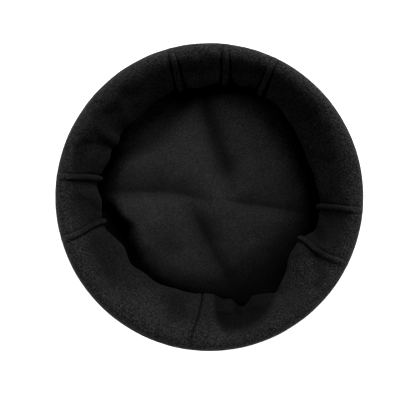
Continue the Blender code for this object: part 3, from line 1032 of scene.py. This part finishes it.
class Finish(NodeTree):
    """A material, its shader, and the patterns that it is mixed from."""

    def __init__(self, name):
        self.material = bpy.data.materials.new(name)
        self.material.use_nodes = True
        super().__init__(self.material.node_tree)
        self.shader = self.tree.nodes["Principled BSDF"]

    def noise(self, vector, grain):
        """A noise pattern with about grain.per_metre grains to the metre."""
        inputs = {
            "Vector": vector,
            "Scale": grain.per_metre,
            "Detail": grain.detail,
            "Roughness": grain.roughness,
            "Distortion": grain.distortion,
        }
        return self.node("ShaderNodeTexNoise", {}, inputs)

    def ease(self, value, span):
        """0 below the span's low end, 1 above its high end, and a smooth step between."""
        inputs = {"Value": value, "From Min": span[0], "From Max": span[1]}
        return self.node("ShaderNodeMapRange", {"interpolation_type": "SMOOTHSTEP"}, inputs)

    def blend(self, share, first, second):
        """The colour first, going over to second as share goes from 0 to 1."""
        settings = {"data_type": "RGBA"}
        return self.node("ShaderNodeMix", settings, {0: share, 6: first, 7: second}, output=2)


print("a finish can", [name for name in vars(Finish) if not name.startswith("_")])

# %% Make the fleece
Grain = namedtuple("Grain", "per_metre detail roughness distortion")
CURLS = Grain(760.0, 2.0, 0.55, 0.5)
FIBRES = Grain(2400.0, 2.0, 0.60, 0.0)
MOTTLES = Grain(45.0, 2.0, 0.50, 0.0)

# Between which values of its noise a pattern goes over from none to whole
CURL_SPAN = (0.36, 0.64)
MOTTLE_SPAN = (0.45, 0.75)
SPECK_FIBRE_SPAN = (0.60, 0.74)
SPECK_CURL_SPAN = (0.45, 0.62)

# The curls' share of the pile, which the fibres fill up to 1, how far mottles and specks change
# the colour, and how much smoother a curl's top is than a hollow
CURL_SHARE = 0.75
MOTTLE_SHARE = 0.25
SPECK_SHARE = 0.6
TOP_SMOOTHNESS = 0.15

# The black of full painted shade, then the fleece's own greys
PAINTED_SHADE_BLACK = (0.0026, 0.0026, 0.0027, 1)
HOLLOW_BLACK = (0.0038, 0.0038, 0.0040, 1)
CURL_GREY = (0.044, 0.044, 0.045, 1)
# The painted highlight of the specks, then the even grey of felted fleece
GLINT_HIGHLIGHT_GREY = (0.190, 0.190, 0.193, 1)
EVEN_GREY = (0.036, 0.036, 0.037, 1)
FLEECE_GLOSS = {
    "Specular IOR Level": 0.14,
    "Sheen Weight": 0.02,
    "Sheen Roughness": 0.45,
    "Sheen Tint": (0.8, 0.8, 0.82, 1),
}

# How far a fleece is felted to one even grey, from 0 to 1, and how high its curls stand
BAND_EVENNESS = 0.0
BAND_CURL_HEIGHT = 0.0008
CROWN_EVENNESS = 0.4
CROWN_CURL_HEIGHT = 0.0005


def make_fleece(name, evenness, curl_height):
    """A fleece: the pile is curls·share + fibres·(1 - share), and shades and lifts the nap.

    The colour goes from the hollows' to the curls' with the pile, then a little way to the
    curls' in the mottles and to the specks' painted highlight where fibres and curls are both
    high, then to the even grey, and last from the black of full painted shade by the points'
    number for tone and painted shade.
    """
    finish = Finish(name)
    place = finish.node("ShaderNodeTexCoord", {}, {}, output=3)
    curls = finish.noise(place, CURLS)
    fibres = finish.noise(place, FIBRES)
    mottles = finish.noise(place, MOTTLES)
    pile = finish.ease(curls, CURL_SPAN) * CURL_SHARE + fibres * (1 - CURL_SHARE)
    colour = finish.blend(pile, HOLLOW_BLACK, CURL_GREY)
    colour = finish.blend(finish.ease(mottles, MOTTLE_SPAN) * MOTTLE_SHARE, colour, CURL_GREY)
    # The specks are painted highlights where fibres and curls are both high
    glint_specks = finish.ease(fibres, SPECK_FIBRE_SPAN) * finish.ease(curls, SPECK_CURL_SPAN)
    colour = finish.blend(glint_specks * SPECK_SHARE, colour, GLINT_HIGHLIGHT_GREY)
    colour = finish.blend(evenness, colour, EVEN_GREY)
    # Painted shade: the points' number darkens the colour to black and lowers the curls there
    nap = finish.node("ShaderNodeAttribute", {"attribute_name": "nap"}, {}, output=2)
    colour = finish.blend(nap, PAINTED_SHADE_BLACK, colour)
    lift = {"Strength": 1.0, "Distance": curl_height, "Height": pile * nap}
    normal = finish.node("ShaderNodeBump", {}, lift)
    roughness = 1.0 - pile * TOP_SMOOTHNESS
    changing = {"Base Color": colour, "Roughness": roughness, "Normal": normal}
    finish.feed(finish.shader, changing)
    finish.feed(finish.shader, FLEECE_GLOSS)
    return finish.material


band_fleece = make_fleece("brushed_band_fleece", BAND_EVENNESS, BAND_CURL_HEIGHT)
crown_fleece = make_fleece("felted_crown_fleece", CROWN_EVENNESS, CROWN_CURL_HEIGHT)
band.data.materials.append(band_fleece)
crown.data.materials.append(crown_fleece)
print("nodes in each fleece:", len(band_fleece.node_tree.nodes))

# %% [markdown]
# ## Floor and light
#
# The photograph has a bright white ground and soft light from above. The largest lamp hangs
# beyond the front of the hat and throws the long soft shadow of the lip on the crown. Two
# smaller ones brighten the roll's right and left. The floor is a matt sheet of paper that
# glows a little, so it is even and white right up to the hat. The room behind it is white to
# the camera and nearly dark to the cloth, which keeps the deep hollows black.

# %% Lay the floor
WHITE = (1, 1, 1, 1)
FLOOR_HALF = 2.5
PAPER_FINISH = {
    "Base Color": (0.80, 0.80, 0.80, 1),
    "Roughness": 0.9,
    "Emission Color": WHITE,
    "Emission Strength": 1.0,
}

corners = [(-1, -1), (1, -1), (1, 1), (-1, 1)]
floor_points = [(x * FLOOR_HALF, y * FLOOR_HALF, 0) for x, y in corners]
floor_mesh = bpy.data.meshes.new("floor")
floor_mesh.from_pydata(floor_points, [], [(0, 1, 2, 3)])
floor = bpy.data.objects.new("floor", floor_mesh)
bpy.context.scene.collection.objects.link(floor)
paper = Finish("white_paper")
paper.feed(paper.shader, PAPER_FINISH)
floor_mesh.materials.append(paper.material)
print("floor:", 2 * FLOOR_HALF, "metres wide")

# %% Hang the lamps
LAMP_DISTANCE = 1.7

# The directions are degrees clockwise from the image's top, the tilts degrees from straight
# above, the sizes metres and the powers watts
Lamp = namedtuple("Lamp", "name direction tilt size power")
LAMPS = [
    Lamp("front_lamp", 18.0, 50.0, 1.0, 19.0),
    Lamp("right_lamp", 102.0, 57.0, 0.7, 7.5),
    Lamp("left_lamp", 280.0, 38.0, 0.7, 9.2),
]

for lamp in LAMPS:
    lamp_data = bpy.data.lights.new(lamp.name, "AREA")
    lamp_data.shape = "DISK"
    lamp_data.size = lamp.size
    lamp_data.energy = lamp.power
    lamp_object = bpy.data.objects.new(lamp.name, lamp_data)
    bpy.context.scene.collection.objects.link(lamp_object)
    tilt = math.radians(lamp.tilt)
    side = math.radians(lamp.direction)
    level_way = image_up * math.cos(side) + image_right * math.sin(side)
    lamp_way = level_way * math.sin(tilt) + Vector((0, 0, math.cos(tilt)))
    lamp_object.location = lamp_way * LAMP_DISTANCE
    lamp_object.rotation_euler = lamp_way.to_track_quat("Z", "Y").to_euler()
print("lamps:", [lamp.name for lamp in LAMPS])

# %% Paint the room white
ROOM_LIGHT = 0.005
ROOM_SEEN = 1.0
FILM_BLACK = 0.0023

world = bpy.data.worlds.new("white_room")
world.use_nodes = True
room = NodeTree(world.node_tree)
is_camera_ray = room.node("ShaderNodeLightPath", {}, {}, output="Is Camera Ray")
strengths = {"Value": is_camera_ray, "To Min": ROOM_LIGHT, "To Max": ROOM_SEEN}
strength = room.node("ShaderNodeMapRange", {}, strengths)
room.feed(world.node_tree.nodes["Background"], {"Color": WHITE, "Strength": strength})
bpy.context.scene.world = world

# The film turns anything darker than its black level into full black
film = bpy.context.scene.view_settings
film.view_transform = "Standard"
film.use_curve_mapping = True
film.curve_mapping.black_level = (FILM_BLACK, FILM_BLACK, FILM_BLACK)
film.curve_mapping.update()
print("the room is", ROOM_SEEN, "bright to the camera and", ROOM_LIGHT, "to the cloth")

# %% [markdown]
# ## Ties to the model
#
# Each new piece rides on the hat's one body and stands for its solid, which is hidden.

for piece, node in ((band, "rolled_band"), (crown, "crown")):
    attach(piece, "root")
    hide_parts(node)
